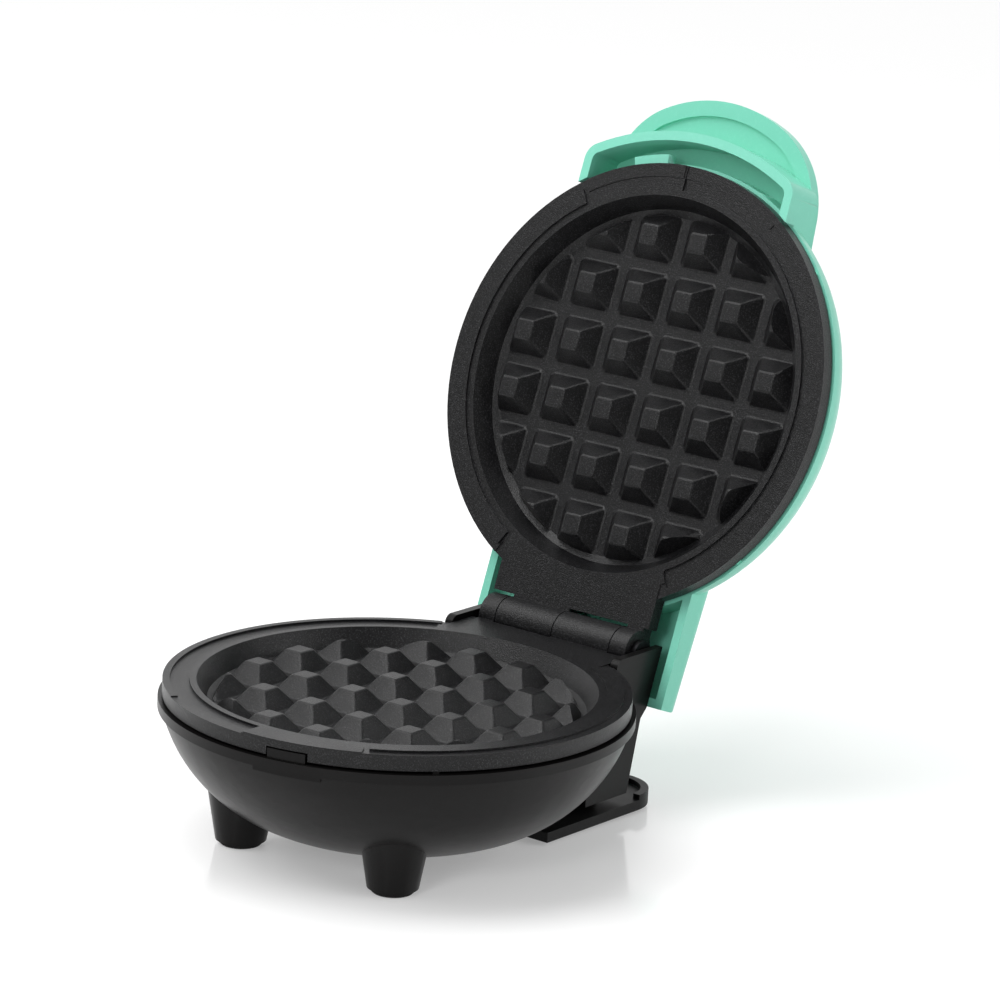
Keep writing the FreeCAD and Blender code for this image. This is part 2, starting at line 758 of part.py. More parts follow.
def terminal_block():
    """Row of screw terminals on the column's floor that joins the mains to the leads."""
    length, depth, height = terminal_block_size
    floor = column_bottom + column_wall
    y = column_rear_foot - column_wall - depth - overlap
    body = block(-length / 2, length / 2, y, y + depth, floor, floor + height)
    pitch = length / terminal_count
    cuts = []
    for i in range(terminal_count):
        x = (i - (terminal_count - 1) / 2) * pitch
        cuts.append(cylinder(pitch * 0.28, floor + height * 0.45, floor + height + overlap, x, y + depth / 2))
        cuts.append(Part.makeCylinder(pitch * 0.22, depth + 2.0, Vector(x, y - overlap, floor + height * 0.35),
                                      Vector(0, 1, 0)))
    for i in range(terminal_count - 1):
        x = (i - (terminal_count - 2) / 2) * pitch
        cuts.append(block(x - terminal_slot / 2, x + terminal_slot / 2, y - overlap, y + depth + overlap,
                          floor + height * 0.55, floor + height + overlap))
    return body.cut(Part.makeCompound(cuts))


def thermostat():
    """Disc thermostat against the middle of the lower casting, with two terminal tabs."""
    low = pan_back - thermostat_height
    can = cylinder(thermostat_radius, low + 2.0, pan_back - seat_gap)
    cap = cylinder(thermostat_radius * 0.9, low, low + 2.1)
    tabs = [block(x - 0.4, x + 0.4, -2.4, 2.4, low - thermostat_tab_length, low + 0.1)
            for x in (-thermostat_radius / 2, thermostat_radius / 2)]
    return fused([can, cap] + tabs)


def thermal_fuse():
    """Sleeved thermal cut-out lying against the back of the reflector."""
    z = reflector_back - seat_gap - fuse_radius
    body = bar(fuse_radius, -fuse_length / 2, fuse_length / 2, fuse_y, z)
    lead = bar(0.5, -fuse_length, fuse_length, fuse_y, z)
    return body.fuse(lead).removeSplitter()


def dome_solid(inset, skirt):
    """The lid's dome as a filled turned solid, its wall moved inwards by an inset, with a skirt below it."""
    shoulder = shoulder_radius - inset
    crown = crown_radius - inset
    lean = math.atan2(shell_rim - crown_centre, shoulder_centre)
    steep = (lean + math.pi / 2) / 2
    edge = Vector(shoulder_centre + shoulder, 0, shell_rim)
    bend_r = shoulder_centre + shoulder * math.cos(lean / 2)
    bend = Vector(bend_r, 0, shell_rim + shoulder * math.sin(lean / 2))
    meet = Vector(shoulder_centre + shoulder * math.cos(lean), 0, shell_rim + shoulder * math.sin(lean))
    slope = Vector(crown * math.cos(steep), 0, crown_centre + crown * math.sin(steep))
    top = Vector(0, 0, crown_height - inset)
    axis_foot = Vector(0, 0, shell_rim - skirt)
    skirt_foot = Vector(edge.x, 0, shell_rim - skirt)
    lines = [Part.Arc(edge, bend, meet).toShape(), Part.Arc(meet, slope, top).toShape(),
             Part.LineSegment(top, axis_foot).toShape(), Part.LineSegment(axis_foot, skirt_foot).toShape()]
    if skirt > 0:
        lines.append(Part.LineSegment(skirt_foot, edge).toShape())
    return Part.Face(Part.Wire(lines)).revolve(origin, up, 360)


def brow_outline(inset):
    """Plan of the brow in front of the dome: a wide arc with rounded ends."""
    w = brow_half_width - inset
    r = brow_radius - inset
    k = brow_corner - inset
    centre_y = -math.sqrt((r - k) ** 2 - (w - k) ** 2)
    lean = math.atan2(-centre_y, w - k)
    tangent = Vector(r * math.cos(lean), -r * math.sin(lean), 0)
    side = Vector(w, centre_y, 0)
    half = lean / 2
    corner = Vector(w - k + k * math.cos(half), centre_y - k * math.sin(half), 0)
    back = -shell_radius / 2
    mirror = [Vector(-p.x, p.y, 0) for p in (tangent, corner, side)]
    lines = [Part.LineSegment(Vector(w, back, 0), side).toShape(), Part.Arc(side, corner, tangent).toShape(),
             Part.Arc(tangent, Vector(0, -r, 0), mirror[0]).toShape(),
             Part.Arc(mirror[0], mirror[1], mirror[2]).toShape(),
             Part.LineSegment(mirror[2], Vector(-w, back, 0)).toShape(),
             Part.LineSegment(Vector(-w, back, 0), Vector(w, back, 0)).toShape()]
    return Part.Face(Part.Wire(lines))


def tab_outline(inset):
    """Plan of the handle tab: a flat front arc, two round corners and straight sides."""
    w = tab_half_width - inset
    front_radius = tab_front_radius - inset
    k = tab_corner_radius - inset
    front_centre = tab_front_radius - tab_front
    corner_x = w - k
    corner_y = front_centre - math.sqrt((front_radius - k) ** 2 - corner_x ** 2)
    lean = math.atan2(front_centre - corner_y, corner_x)
    tangent = Vector(front_radius * math.cos(lean), front_centre - front_radius * math.sin(lean), 0)
    side = Vector(w, corner_y, 0)
    half = lean / 2
    middle = Vector(corner_x + k * math.cos(half), corner_y - k * math.sin(half), 0)
    back = -shell_radius / 2
    mirror = [Vector(-p.x, p.y, 0) for p in (tangent, middle, side)]
    nose = Vector(0, front_centre - front_radius, 0)
    lines = [Part.LineSegment(Vector(w, back, 0), side).toShape(), Part.Arc(side, middle, tangent).toShape(),
             Part.Arc(tangent, nose, mirror[0]).toShape(),
             Part.Arc(mirror[0], mirror[1], mirror[2]).toShape(),
             Part.LineSegment(mirror[2], Vector(-w, back, 0)).toShape(),
             Part.LineSegment(Vector(-w, back, 0), Vector(w, back, 0)).toShape()]
    return Part.Face(Part.Wire(lines))


def tab_slab(thickness_low, thickness_high):
    """Sloping slab, between two depths under the tab's drooping top face."""
    reach = tab_front + brow_half_width
    slab = block(-reach, reach, -reach, reach, -thickness_high, -thickness_low)
    slab.rotate(origin, along_hinge, tab_droop_angle)
    slab.translate(Vector(0, -tab_root_y, tab_root_top))
    return slab


def upright(face, z_low, z_high):
    """Prism from a plan outline between two levels."""
    moved = face.copy()
    moved.translate(Vector(0, 0, z_low))
    return moved.extrude(up * (z_high - z_low))


def handle_tab():
    """The tab that a hand lifts, with a border round its hollowed underside."""
    tall = upright(tab_outline(0), -crown_height, 2 * crown_height)
    tab = tall.common(tab_slab(0, tab_thickness))
    hollow = upright(tab_outline(tab_border), -crown_height, 2 * crown_height)
    hollow = hollow.common(tab_slab(tab_thickness - tab_recess, tab_thickness + overlap))
    return tab.cut(hollow.cut(upright(brow_outline(0), -crown_height, 2 * crown_height)))


def tail_solid(inset):
    """Tail of the lid that covers the hinge, its walls moved inwards by an inset."""
    low = shell_rim - 10 * inset
    points = [(shell_radius / 2, low), (tail_rear - inset, low), (tail_rear - inset, tail_rear_top - inset),
              (shell_radius / 2, tail_front_top - inset)]
    half = tail_half_width - inset
    solid = side_profile(points, -half, half)
    level = (shell_rim + tail_rear_top) / 2
    keep = [e for e in solid.Edges
            if e.BoundBox.ZMin > level and (e.BoundBox.XLength < 0.01 or e.BoundBox.YMin > shell_radius)]
    return solid.makeFillet(tail_edge_radius - inset, keep)


def lid_shell():
    """Moulded lid: dome, brow with its finger pocket, handle tab and hinge tail, in one piece."""
    core_radius = shell_radius + ring_skin
    brow = upright(brow_outline(0), brow_lip_z, tab_root_top - tab_thickness)
    brow = brow.common(tab_slab(tab_thickness / 2, 3 * crown_height))
    brow = brow.cut(cylinder(core_radius, -crown_height, shell_rim))
    body = fused([dome_solid(0, 0), brow, handle_tab(), tail_solid(0)])

    core = cylinder(core_radius, -crown_height, 2 * crown_height)
    pocket = upright(brow_outline(brow_wall), -crown_height, crown_height)
    pocket = pocket.common(tab_slab(tab_thickness, 3 * crown_height))
    body = body.cut(dome_solid(shell_wall, crown_height))
    body = body.cut(pocket.cut(core))
    body = body.cut(tail_solid(shell_wall).cut(core))

    inner = dome_solid(shell_wall / 2, 0)
    posts = [cylinder(plate_boss_radius, -post_top, crown_height, x, y).common(inner) for x, y in post_places]
    pins = [cylinder(lid_post_pin_radius, -boss_back - screw_engagement + overlap, -post_top + 0.5, x, y)
            for x, y in post_places]
    ledge = ring(plate_radius - snap_depth, shell_radius - 0.3, -shell_rim - 3.0, -shell_rim,
                 snap_start_angle - 4, snap_end_angle + 4)
    tab = upside_down(snap_tab(-shell_rim - overlap, -shell_rim + snap_height, lid_snap_proud))
    seat = cylinder(lens_radius + lens_flange + 0.8, lens_seat(), crown_height, 0, lamp_y).common(inner)
    nubs = rim_nubs(shell_rim + 0.4, -(seam_gap + 0.4 - nub_gap))
    body = body.multiFuse(posts + pins + [upside_down(ledge), tab, seat] + nubs)
    return body.cut(cylinder(lens_radius + lens_clearance, 0, crown_height, 0, lamp_y)).removeSplitter()


def dome_height(radius):
    """Level of the dome's outer face at a distance from its axis, inside the shoulder."""
    return crown_centre + math.sqrt(crown_radius ** 2 - radius ** 2)


def lens_seat():
    """Flat under the dome that the indicator's lens bears on."""
    return dome_height(abs(lamp_y) + lens_radius + lens_flange) - shell_wall - 0.6


def indicator_lens():
    """Clear lens of the indicator light, pushed up through the dome."""
    seat = lens_seat() - 0.05
    top = dome_height(abs(lamp_y)) + lens_proud
    stem = cylinder(lens_radius, seat - 0.1, top, 0, lamp_y)
    stem = stem.makeFillet(lens_radius * 0.4, [e for e in stem.Edges if e.BoundBox.ZMin > top - 0.01])
    flange = cylinder(lens_radius + lens_flange, seat - lens_flange_thickness, seat, 0, lamp_y)
    return stem.fuse(flange).removeSplitter()


def indicator_lamp():
    """Small glow lamp lying under the lens."""
    z = lens_seat() - 0.05 - lens_flange_thickness - lamp_gap - lamp_radius
    glass = bar(lamp_radius, -lamp_length / 2, lamp_length / 2, lamp_y, z)
    return glass.makeFillet(lamp_radius * 0.6, [e for e in glass.Edges if e.BoundBox.XLength < 0.01])


def all_pieces():
    """Every node of the assembly, with the body that it belongs to, built with the lid shut."""
    plate = cooking_plate()
    element = heating_element()
    clamp = heater_clamp()
    reflector = heat_reflector()
    screws = clamp_screws()
    base = {
        "base_housing": base_housing(),
        "lower_plate": plate,
        "lower_heating_element": element,
        "lower_heater_clamp": clamp,
        "lower_reflector": reflector,
        "lower_clamp_screws": screws,
        "base_screws": base_screws(),
        "front_foot_pads": front_pads(),
        "rear_foot_plate": rear_foot_plate(),
        "rear_foot_screws": foot_screws(),
        "rear_foot_pads": rear_pads(),
        "cord_gland": cord_gland(),
        "terminal_block": terminal_block(),
        "thermostat": thermostat(),
        "thermal_fuse": thermal_fuse(),
        "hinge_pin": hinge_pin(),
        "hinge_pin_cap": hinge_pin_cap(),
    }
    lid = {
        "lid_shell": lid_shell(),
        "upper_plate": upside_down(plate),
        "upper_heating_element": upside_down(element),
        "upper_heater_clamp": upside_down(clamp),
        "upper_reflector": upside_down(reflector),
        "upper_clamp_screws": upside_down(screws),
        "indicator_lens": indicator_lens(),
        "indicator_lamp": indicator_lamp(),
    }
    for shape in lid.values():
        shape.rotate(Vector(0, hinge_y, 0), along_hinge, -open_angle)
    return base, lid


def main():
    """Build the pieces, set the whole down on its origin and write one file per node."""
    os.makedirs("parts", exist_ok=True)
    base, lid = all_pieces()
    pieces = {**base, **lid}
    box = Part.makeCompound(list(pieces.values())).optimalBoundingBox()
    shift = Vector(0, -(box.YMin + box.YMax) / 2, -ground)
    for name, shape in pieces.items():
        shape.translate(shift)
        shape.exportStep("parts/" + name + ".step")
        print(name, "solids", len(shape.Solids), "valid", shape.isValid(), "volume", round(shape.Volume, 1))
    print("size", round(box.XLength, 2), round(box.YLength, 2), round(box.ZLength, 2))
    print("shift", round(shift.y, 4), round(shift.z, 4))
    print("hinge at", round(hinge_y + shift.y, 4), round(shift.z, 4))


main()
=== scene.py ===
# %% [markdown]
# # A mini waffle maker, standing open
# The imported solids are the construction: bowl, lid, plates, hinge and everything inside.
# This lesson dresses them: it rounds the edges that a moulding or a casting really has, gives each
# finish a node material, and lights the whole on a pale floor, seen as in the photograph.

# %% Load the frame
import bpy
import bmesh
import json
import math
from mathutils import Matrix, Vector


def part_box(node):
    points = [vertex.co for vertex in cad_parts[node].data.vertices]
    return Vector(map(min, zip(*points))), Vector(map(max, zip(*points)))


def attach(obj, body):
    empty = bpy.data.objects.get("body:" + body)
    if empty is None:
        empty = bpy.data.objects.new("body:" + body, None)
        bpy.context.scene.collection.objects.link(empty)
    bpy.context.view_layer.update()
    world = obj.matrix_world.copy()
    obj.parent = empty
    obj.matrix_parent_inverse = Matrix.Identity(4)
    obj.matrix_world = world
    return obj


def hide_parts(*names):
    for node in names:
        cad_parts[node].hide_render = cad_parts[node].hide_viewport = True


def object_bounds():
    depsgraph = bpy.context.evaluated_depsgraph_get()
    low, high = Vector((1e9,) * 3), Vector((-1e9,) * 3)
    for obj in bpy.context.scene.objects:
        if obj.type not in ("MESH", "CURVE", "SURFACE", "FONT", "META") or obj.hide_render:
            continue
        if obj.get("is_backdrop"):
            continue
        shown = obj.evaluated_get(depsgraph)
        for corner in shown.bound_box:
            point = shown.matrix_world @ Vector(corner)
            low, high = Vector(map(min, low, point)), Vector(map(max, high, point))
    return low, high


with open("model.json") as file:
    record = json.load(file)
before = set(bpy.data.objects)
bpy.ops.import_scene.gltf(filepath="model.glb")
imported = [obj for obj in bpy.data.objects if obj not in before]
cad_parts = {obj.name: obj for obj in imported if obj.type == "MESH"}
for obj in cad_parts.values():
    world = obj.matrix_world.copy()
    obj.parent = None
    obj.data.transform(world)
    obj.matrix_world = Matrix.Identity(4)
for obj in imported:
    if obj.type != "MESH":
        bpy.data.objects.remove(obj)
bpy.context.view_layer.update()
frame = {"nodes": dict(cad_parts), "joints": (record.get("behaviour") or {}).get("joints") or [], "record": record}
nodes = frame["nodes"]

# %% [markdown]
# ## The camera
# The view was found by fitting a camera to the two round rims in the photograph. A long lens from
# over a metre away keeps the plates' ellipses almost parallel, as a product photographer would.
# The camera could be aimed with a constraint, but a matrix keeps the slight roll of the picture.
# Its target is measured from the hinge, the one place that both halves share.

# %% Line of sight
view_azimuth = math.radians(38.03)
view_elevation = math.radians(14.66)
view_roll = math.radians(2.86)
view_distance = 1.21873
target_from_hinge = Vector((0.0128, -0.04715, 0.04769))
hinge = Vector(frame["joints"][0]["pos_m"])

back = Vector((math.sin(view_azimuth) * math.cos(view_elevation),
               -math.cos(view_azimuth) * math.cos(view_elevation), math.sin(view_elevation)))
right = Vector((math.cos(view_azimuth), math.sin(view_azimuth), 0))
up = back.cross(right)
rolled_right = math.cos(view_roll) * right + math.sin(view_roll) * up
rolled_up = back.cross(rolled_right)
eye = hinge + target_from_hinge + back * view_distance
print("eye:", [round(v, 3) for v in eye])

# %% Camera
focal_pixels = 4710.19
picture_pixels = 1000
sensor_width = 36.0
camera_data = bpy.data.cameras.new("photo_camera")
camera_data.sensor_width = sensor_width
camera_data.lens = focal_pixels / picture_pixels * sensor_width
camera_data.clip_start = 0.05
camera_data.clip_end = 20.0
camera = bpy.data.objects.new("photo_camera", camera_data)
bpy.context.scene.collection.objects.link(camera)
turn = Matrix((rolled_right, rolled_up, back)).transposed()
camera.matrix_world = Matrix.Translation(eye) @ turn.to_4x4()
bpy.context.scene.camera = camera
print("lens:", round(camera_data.lens, 1), "mm")

# %% [markdown]
# ## Grain that several finishes share
# Sprayed non-stick coats, spark-textured mouldings and rubber all have a fine random grain, only
# of different size and depth. Each material could have its own noises, but one node group makes the
# grain once, and each material sets its own size. It puts out a mask of specks for colour, slow
# blotches for roughness and a height for bump.

# %% Helpers for nodes
def new_group(name, inputs, outputs):
    """Empty shader group with named number sockets; returns it with its two end nodes."""
    group = bpy.data.node_groups.new(name, "ShaderNodeTree")
    for label, value in inputs.items():
        socket = group.interface.new_socket(label, in_out="INPUT", socket_type="NodeSocketFloat")
        socket.default_value = value
    for label in outputs:
        group.interface.new_socket(label, in_out="OUTPUT", socket_type="NodeSocketFloat")
    print("group:", name, "in:", list(inputs), "out:", outputs)
    return group, group.nodes.new("NodeGroupInput"), group.nodes.new("NodeGroupOutput")


def add(tree, kind, sockets=None, **settings):
    """One node with its properties set, and then plain values on its sockets, by name or number."""
    node = tree.nodes.new(kind)
    for label, value in settings.items():
        setattr(node, label, value)
    for label, value in (sockets or {}).items():
        node.inputs[label].default_value = value
    return node

# %% Shared grain group
speck_fade = 0.12
cell_share = 0.7


def grain_group():
    """Two sizes of noise: fine specks over slow blotches."""
    group, given, result = new_group(
        "surface_grain", {"Speck Scale": 2600.0, "Blotch Scale": 60.0, "Speck Share": 0.62},
        ["Specks", "Blotches", "Height"])
    link = group.links.new
    place = add(group, "ShaderNodeTexCoord")
    specks = add(group, "ShaderNodeTexNoise", {"Detail": 2.0, "Roughness": 0.6})
    blotches = add(group, "ShaderNodeTexNoise", {"Detail": 3.0, "Roughness": 0.5})
    cells = add(group, "ShaderNodeTexVoronoi")
    for texture, label in ((specks, "Speck Scale"), (blotches, "Blotch Scale"), (cells, "Speck Scale")):
        link(place.outputs["Object"], texture.inputs["Vector"])
        link(given.outputs[label], texture.inputs["Scale"])
    upper = add(group, "ShaderNodeMath", {1: speck_fade}, operation="ADD")
    link(given.outputs["Speck Share"], upper.inputs[0])
    sharpen = add(group, "ShaderNodeMapRange", clamp=True)
    link(specks.outputs["Fac"], sharpen.inputs["Value"])
    link(given.outputs["Speck Share"], sharpen.inputs["From Min"])
    link(upper.outputs[0], sharpen.inputs["From Max"])
    height = add(group, "ShaderNodeMath", {1: cell_share}, operation="MULTIPLY_ADD")
    link(cells.outputs["Distance"], height.inputs[0])
    link(specks.outputs["Fac"], height.inputs[2])
    link(sharpen.outputs["Result"], result.inputs["Specks"])
    link(blotches.outputs["Fac"], result.inputs["Blotches"])
    link(height.outputs[0], result.inputs["Height"])
    return group


surface_grain = grain_group()

# %% [markdown]
# ## Edges: wear and painted highlight
# The rounded edges get a lighter tone, partly wear and partly a painted highlight: the light that a
# rounded edge catches, painted into its colour. The shader's pointiness could find edges, but it
# depends on how fine the mesh is. So the rounded copies further on carry an attribute, soft_edge, that is
# 1 on their rounded faces. This group breaks that mark up with noise, so that the lighter edge comes and goes.

# %% Shared edge group
def edge_group():
    """Mask of the rounded edges, broken up by noise."""
    # This mask lightens the rounded faces, partly as wear and partly as a painted highlight.
    group, given, result = new_group("edge_wear_and_highlight", {"Break Scale": 700.0, "Amount": 0.6}, ["Wear"])
    link = group.links.new
    mark = add(group, "ShaderNodeAttribute", attribute_name="soft_edge")
    place = add(group, "ShaderNodeTexCoord")
    breaks = add(group, "ShaderNodeTexNoise", {"Detail": 3.0, "Roughness": 0.65})
    link(place.outputs["Object"], breaks.inputs["Vector"])
    link(given.outputs["Break Scale"], breaks.inputs["Scale"])
    sharpen = add(group, "ShaderNodeMapRange", {"From Min": 0.34, "From Max": 0.62}, clamp=True)
    link(breaks.outputs["Fac"], sharpen.inputs["Value"])
    marked = add(group, "ShaderNodeMath", operation="MULTIPLY")
    link(mark.outputs["Fac"], marked.inputs[0])
    link(sharpen.outputs["Result"], marked.inputs[1])
    weighed = add(group, "ShaderNodeMath", operation="MULTIPLY")
    link(marked.outputs[0], weighed.inputs[0])
    link(given.outputs["Amount"], weighed.inputs[1])
    link(weighed.outputs[0], result.inputs["Wear"])
    return group


edge_wear_and_highlight = edge_group()

# %% [markdown]
# ## From grain to a finish
# Every finish here is one Principled shader. Specks move its colour between two tones, the rounded edges
# bring in a lighter third, partly wear and partly painted highlight, blotches move its roughness between two
# values, and the grain gives a little bump.
# Plain numbers that are the same all over are set on the shader itself. The large finishes keep
# their roughness over 0.28, because lower values left false outlines after denoising.

# %% Display colours
def srgb(r, g, b):
    """A display colour from 0 to 255 as the linear colour that shaders use, by the standard curve."""
    def linear(v):
        v = v / 255
        return v / 12.92 if v <= 0.04045 else ((v + 0.055) / 1.055) ** 2.4
    return (linear(r), linear(g), linear(b), 1.0)


print("middle grey in linear light:", [round(v, 3) for v in srgb(128, 128, 128)])

# %% Finish builder
# The Mix node has sockets for every kind of value; these are the numbers of those for colour.
mix_factor, mix_first, mix_second, mix_result = 0, 6, 7, 2


def finish(name, tone, speck_tone, worn_and_lit_edge_tone, grain_scale, speck_share, rough, bump, blotch_scale=60.0,
           wear_and_highlight=(700.0, 0.6), **shader_values):
    """A material whose colour, roughness and bump follow the shared grain, with a lighter tone on its rounded
    edges that is partly wear and partly painted highlight.
    """
    material = bpy.data.materials.new(name)
    material.use_nodes = True
    tree = material.node_tree
    link = tree.links.new
    shader = tree.nodes["Principled BSDF"]
    for label, value in shader_values.items():
        shader.inputs[label.replace("_", " ")].default_value = value
    grain = add(tree, "ShaderNodeGroup", {"Speck Scale": grain_scale, "Blotch Scale": blotch_scale,
                                          "Speck Share": speck_share}, node_tree=surface_grain)
    edges = add(tree, "ShaderNodeGroup", {"Break Scale": wear_and_highlight[0], "Amount": wear_and_highlight[1]}, node_tree=edge_wear_and_highlight)
    speckled = add(tree, "ShaderNodeMix", {mix_first: tone, mix_second: speck_tone}, data_type="RGBA")
    # The third tone, on the rounded edges, is partly wear and partly a painted highlight.
    worn_and_lit = add(tree, "ShaderNodeMix", {mix_second: worn_and_lit_edge_tone}, data_type="RGBA")
    link(grain.outputs["Specks"], speckled.inputs[mix_factor])
    link(edges.outputs["Wear"], worn_and_lit.inputs[mix_factor])
    link(speckled.outputs[mix_result], worn_and_lit.inputs[mix_first])
    link(worn_and_lit.outputs[mix_result], shader.inputs["Base Color"])
    spread = add(tree, "ShaderNodeMapRange", {"From Min": 0.3, "From Max": 0.7,
                                              "To Min": rough[0], "To Max": rough[1]})
    link(grain.outputs["Blotches"], spread.inputs["Value"])
    link(spread.outputs["Result"], shader.inputs["Roughness"])
    relief = add(tree, "ShaderNodeBump", {"Strength": bump[0], "Distance": bump[1]})
    link(grain.outputs["Height"], relief.inputs["Height"])
    link(relief.outputs["Normal"], shader.inputs["Normal"])
    return material

# %% [markdown]
# ## The finishes that show
# The plates have a sprayed non-stick coat: near black, with fine pale specks and a dull sheen. The
# lid is a glossy mint moulding, the bowl a satin black one, and the foot plate is duller. Pictures
# could be laid over them, but noise stays sharp at any distance and needs no file. Blacks get a low
# specular level, because under a white sky a higher one turns them grey.

# %% Coat and mouldings
# The coat's pale edge tone is a painted highlight: the light lines that its rims and pyramid edges catch. The
# mouldings' lighter edge tones are partly wear and partly painted highlight.
nonstick = finish("nonstick_coat", srgb(13, 13, 14), srgb(54, 54, 56), srgb(112, 112, 114),
                  grain_scale=3200.0, speck_share=0.54, rough=(0.285, 0.35), bump=(0.6, 0.00012),
                  wear_and_highlight=(1500.0, 0.7), Specular_IOR_Level=0.3)
mint = finish("mint_moulding", srgb(130, 215, 191), srgb(134, 217, 194), srgb(150, 224, 205),
              grain_scale=900.0, speck_share=0.55, rough=(0.285, 0.34), bump=(0.02, 0.00005),
              blotch_scale=25.0, Specular_IOR_Level=0.36)
satin_black = finish("satin_black_moulding", srgb(15, 14, 14), srgb(19, 18, 18), srgb(52, 51, 50),
                     grain_scale=1800.0, speck_share=0.55, rough=(0.285, 0.34), bump=(0.05, 0.00006),
                     blotch_scale=30.0, Specular_IOR_Level=0.16)
matte_black = finish("matte_black_moulding", srgb(17, 17, 17), srgb(24, 24, 24), srgb(50, 50, 50),
                     grain_scale=2200.0, speck_share=0.52, rough=(0.42, 0.52), bump=(0.12, 0.00008),
                     Specular_IOR_Level=0.18)
rubber = finish("pad_rubber", srgb(20, 20, 20), srgb(31, 31, 30), srgb(40, 40, 39),
                grain_scale=1500.0, speck_share=0.5, rough=(0.7, 0.85), bump=(0.25, 0.0001),
                Specular_IOR_Level=0.25)
print("mouldings:", nonstick.name, mint.name, satin_black.name, matte_black.name, rubber.name)

# %% [markdown]
# ## Metal, glass and what is inside
# Plated screws, the bright reflectors, the dull heater tubes and the small electrical parts are
# sealed in, but anyone who opens the model finds them finished too. They could stay plain, but the
# same builder gives them grain and lighter edges, partly wear and partly painted highlight, at the cost of a line
# each.

# %% Metals
bright_sheet = finish("bright_sheet", srgb(205, 206, 209), srgb(188, 189, 192), srgb(220, 221, 224),
                      grain_scale=700.0, speck_share=0.55, rough=(0.2, 0.34), bump=(0.04, 0.00005),
                      Metallic=1.0)
dull_steel = finish("dull_steel_tube", srgb(128, 124, 118), srgb(98, 92, 86), srgb(150, 146, 140),
                    grain_scale=500.0, speck_share=0.52, rough=(0.34, 0.5), bump=(0.08, 0.00006),
                    Metallic=1.0)
zinc = finish("zinc_plate", srgb(176, 177, 180), srgb(150, 151, 156), srgb(200, 201, 204),
              grain_scale=1100.0, speck_share=0.55, rough=(0.24, 0.38), bump=(0.05, 0.00004),
              Metallic=1.0)
black_zinc = finish("black_zinc_plate", srgb(46, 46, 48), srgb(58, 58, 60), srgb(96, 96, 98),
                    grain_scale=1100.0, speck_share=0.55, rough=(0.32, 0.46), bump=(0.05, 0.00004),
                    Metallic=1.0)
print("metals:", bright_sheet.name, dull_steel.name, zinc.name, black_zinc.name)

# %% Small parts
cream = finish("heatproof_cream", srgb(222, 214, 196), srgb(206, 196, 176), srgb(232, 226, 212),
               grain_scale=900.0, speck_share=0.55, rough=(0.42, 0.55), bump=(0.08, 0.00006))
sleeve = finish("glass_sleeve", srgb(226, 222, 210), srgb(200, 194, 178), srgb(232, 228, 218),
                grain_scale=2600.0, speck_share=0.48, rough=(0.6, 0.75), bump=(0.4, 0.0001))
red_lens = finish("clear_red_lens", srgb(214, 52, 30), srgb(222, 66, 40), srgb(226, 80, 54),
                  grain_scale=400.0, speck_share=0.6, rough=(0.08, 0.14), bump=(0.01, 0.00003),
                  Transmission_Weight=0.6)
lamp_glass = finish("lamp_glass", srgb(242, 214, 186), srgb(246, 224, 200), srgb(248, 230, 210),
                    grain_scale=400.0, speck_share=0.6, rough=(0.05, 0.1), bump=(0.01, 0.00003),
                    Transmission_Weight=0.8)
print("small parts:", cream.name, sleeve.name, red_lens.name, lamp_glass.name)

# %% [markdown]
# ## Dress every solid
# The record gives each node a material slot, so one short loop gives every solid its finish,
# also those that are sealed inside and only seen by someone who takes the thing apart. Only the
# hinge's pin and cap differ from the other steel: they are blackened.

# %% Finish on the solids
finishes = {"lid_plastic": mint, "base_plastic": satin_black, "plate_casting": nonstick,
            "sheath_steel": dull_steel, "sheet_aluminium": bright_sheet, "screw_steel": zinc,
            "pad_rubber": rubber, "control_plastic": cream, "fuse_sleeve": sleeve,
            "lens_plastic": red_lens, "lamp_glass": lamp_glass}
slot_of = {part["node"]: part["material_slot"] for part in frame["record"]["subparts"]}
for name, solid in nodes.items():
    solid.data.materials.clear()
    solid.data.materials.append(black_zinc if name.startswith("hinge_pin") else finishes[slot_of[name]])
print("dressed:", len(slot_of), "finishes:", len(finishes))

# %% [markdown]
# ## Soft edges
# No moulded or cast edge is knife sharp, and it is the rounded edge that catches the light. The
# solids keep crisp edges, so each big visible piece is a copy of its solid, welded and bevelled,
# and it stands in for the solid. A bevel in the shader would be quicker but leaves no shape.

# %% Pieces that stand in for solids
def body_of(node):
    """Name of the body that a node belongs to."""
    groups = frame["record"]["behaviour"]["bodies"]
    return next(body for body, members in groups.items() if node in members)


def made_plain(piece):
    """Turn a piece with modifiers into a plain mesh, and return that mesh."""
    graph = bpy.context.evaluated_depsgraph_get()
    done = bpy.data.meshes.new_from_object(piece.evaluated_get(graph))
    piece.modifiers.clear()
    piece.data = done
    return done


def stand_in(piece, node):
    """Let a piece move with a solid's body, and hide the solid."""
    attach(piece, body_of(node))
    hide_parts(node)


print("bodies:", {node: body_of(node) for node in ("base_housing", "lid_shell")})

# %% [markdown]
# ## Which edges are rounded
# The cast pyramids are rounded at their tops and feet, each told by how far the two faces at an edge
# turn away from the way the plate faces. Their ridges only get smooth shading. Of the other edges,
# the bevel takes the sharp ones where a piece shows, and the rest stay crisp, so that flat faces
# shade flat. A bevel on all edges would be simpler, but one tiny edge then holds every other back.

# %% Edge choice
mm = 0.001
crisp_angle = math.radians(26)
grid_rounding = 0.5 * mm
flat_facing = 0.99
slope_facing = (0.55, 0.8)
ridge_facing = (0.5, 0.85)


